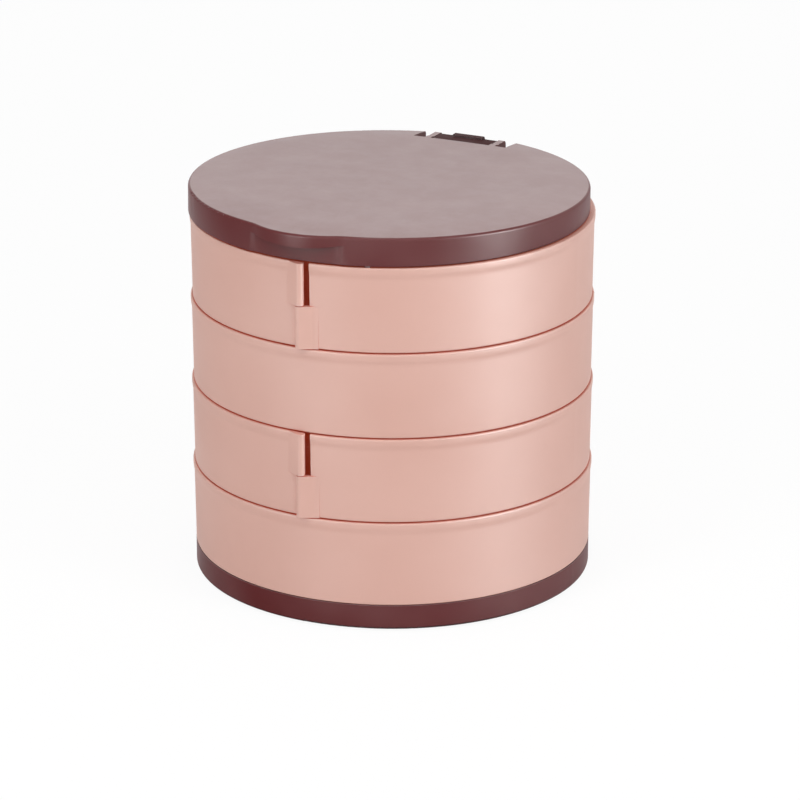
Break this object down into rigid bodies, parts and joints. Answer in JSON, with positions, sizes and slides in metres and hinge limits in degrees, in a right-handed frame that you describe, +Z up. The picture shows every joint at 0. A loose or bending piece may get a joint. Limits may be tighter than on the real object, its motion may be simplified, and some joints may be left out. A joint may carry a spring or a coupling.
{
  "type": "rotating jewelry box",
  "caption": "Round stacked jewellery box: trays that swing out flat about upright side pins, a plum base and a hinged lid with a finger lip and a mirror inside.",
  "frame": {"origin": "centre of the box on the plane of the foot pads' underside", "axes": "+Z up through the trays' centre; -Y to the lid's finger lip and the front pins, +Y to the lid's hinge"},
  "size_m": [0.1301, 0.1346, 0.1302],
  "materials": {
    "tray_plastic": "satin rose moulded plastic",
    "trim_plastic": "semi-gloss plum moulded plastic",
    "steel": "plain steel pins and screws",
    "pad_rubber": "soft rubber",
    "velvet": "short-pile velvet lining",
    "mirror_glass": "silvered glass",
    "silicone": "clear soft dots"
  },
  "bodies": {
    "base": {"base": "trim_plastic", "foot_pads": "pad_rubber", "base_screws": "steel", "tray_4": "tray_plastic", "liner_4": "velvet", "bracket_3": "tray_plastic", "bracket_3_screws": "steel", "pin_3": "steel"},
    "tray_3": {"tray_3": "tray_plastic", "liner_3": "velvet", "divider_3": "tray_plastic", "bracket_2": "tray_plastic", "bracket_2_screws": "steel", "pin_2": "steel"},
    "tray_2": {"tray_2": "tray_plastic", "liner_2": "velvet", "divider_2": "tray_plastic", "bracket_1": "tray_plastic", "bracket_1_screws": "steel", "pin_1": "steel"},
    "tray_1": {"tray_1": "tray_plastic", "liner_1": "velvet", "divider_1": "tray_plastic", "ring_cushion": "velvet", "hinge_block": "trim_plastic", "hinge_block_screws": "steel", "lid_hinge_pin": "steel"},
    "lid": {"lid": "trim_plastic", "mirror": "mirror_glass", "mirror_frame": "trim_plastic", "lid_bumpers": "silicone"}
  },
  "joints": [
    {"name": "tray_3_swing", "type": "hinge", "parent": "base", "child": "tray_3", "pos_m": [0, -0.0654, 0.0504], "axis": [0, 0, -1], "range_deg": [0, 150]},
    {"name": "tray_2_swing", "type": "hinge", "parent": "tray_3", "child": "tray_2", "pos_m": [0, 0.0654, 0.0783], "axis": [0, 0, -1], "range_deg": [0, 150]},
    {"name": "tray_1_swing", "type": "hinge", "parent": "tray_2", "child": "tray_1", "pos_m": [0, -0.0654, 0.1062], "axis": [0, 0, -1], "range_deg": [0, 150]},
    {"name": "lid_hinge", "type": "hinge", "parent": "tray_1", "child": "lid", "pos_m": [-0.0008, 0.058, 0.12476], "axis": [-1, 0, 0], "range_deg": [0, 105]}
  ]
}
